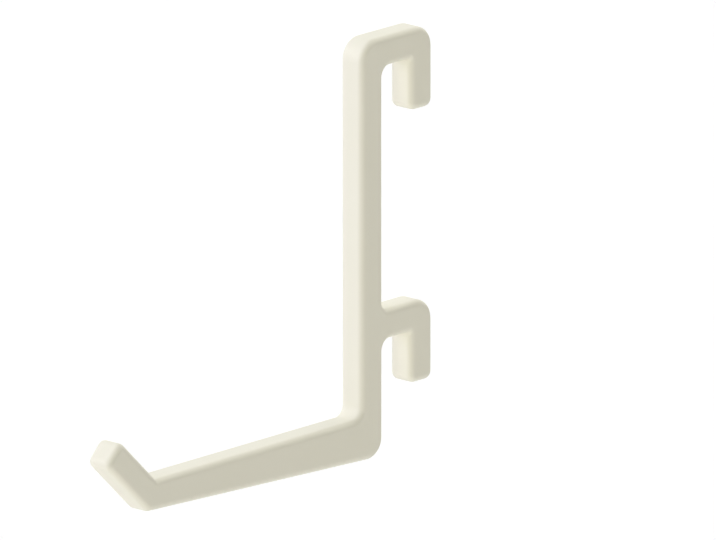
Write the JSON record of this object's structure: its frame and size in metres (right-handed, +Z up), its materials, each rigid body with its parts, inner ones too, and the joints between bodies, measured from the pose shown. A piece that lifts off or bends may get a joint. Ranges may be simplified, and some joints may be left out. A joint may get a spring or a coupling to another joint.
{
  "type": "pegboard hook",
  "caption": "One-piece moulded plastic hook: an upright spine with two rear pegs for a slotted pegboard and a tapered arm ending in a raised tip.",
  "frame": {"origin": "on the spine's back face, at mid-width, half way up between the two peg seats", "axes": "+Z up, +Y back towards the pegboard, the arm points to -Y, X across the hook's width"},
  "size_m": [0.0042, 0.0671, 0.0614],
  "materials": {
    "ivory_plastic": "moulded, fine satin"
  },
  "bodies": {
    "root": {"hook": "ivory_plastic"}
  },
  "joints": []
}
